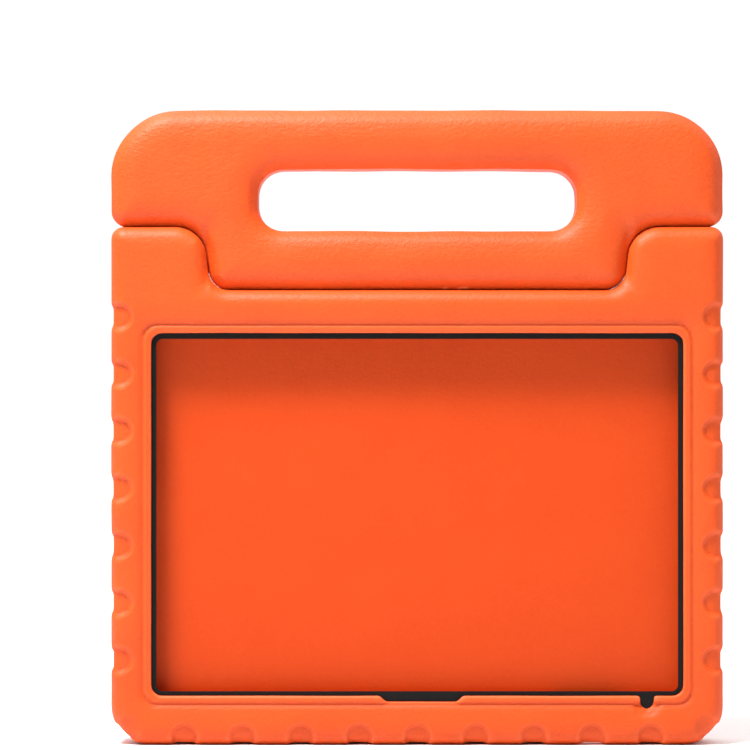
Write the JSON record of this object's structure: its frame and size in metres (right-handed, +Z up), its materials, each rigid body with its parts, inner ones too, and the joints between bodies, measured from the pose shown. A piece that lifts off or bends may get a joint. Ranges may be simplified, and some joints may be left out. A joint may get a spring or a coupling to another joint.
{
  "type": "tablet case",
  "caption": "Shock-absorbing foam tablet case with an open front window, grip dents round the edge and a carrying handle that swings back as a stand.",
  "frame": {"origin": "under the middle of the case, on the surface that its lower edge stands on", "axes": "+X across the case to the right seen from the front, -Y out of the open front window, +Z up towards the carrying handle"},
  "size_m": [0.222, 0.024, 0.23],
  "materials": {
    "case_foam": "matt moulded foam with a fine skin grain",
    "panel_foam": "matt moulded foam with a fine skin grain",
    "handle_foam": "matt moulded foam with a creased skin",
    "gasket_rubber": "matt black rubber",
    "plug_plastic": "fine spark-textured moulding",
    "bushing_plastic": "natural acetal",
    "washer_rubber": "matt",
    "core_plastic": "moulded ABS",
    "pin_steel": "bright zinc plate"
  },
  "bodies": {
    "case": {"frame_shell": "case_foam", "back_panel": "panel_foam", "screen_gasket": "gasket_rubber", "hinge_bushing_left": "bushing_plastic", "hinge_bushing_right": "bushing_plastic", "friction_washer_left": "washer_rubber", "friction_washer_right": "washer_rubber", "hinge_plug_left": "plug_plastic", "hinge_plug_right": "plug_plastic"},
    "handle": {"handle_foam": "handle_foam", "handle_core": "core_plastic", "hinge_hub_left": "core_plastic", "hinge_hub_right": "core_plastic", "hinge_pin_left": "pin_steel", "hinge_pin_right": "pin_steel", "hub_screws": "pin_steel"}
  },
  "joints": [
    {"name": "handle_swing", "type": "hinge", "parent": "case", "child": "handle", "pos_m": [0, 0.006, 0.1765], "axis": [-1, 0, 0], "range_deg": [0, 120]}
  ]
}
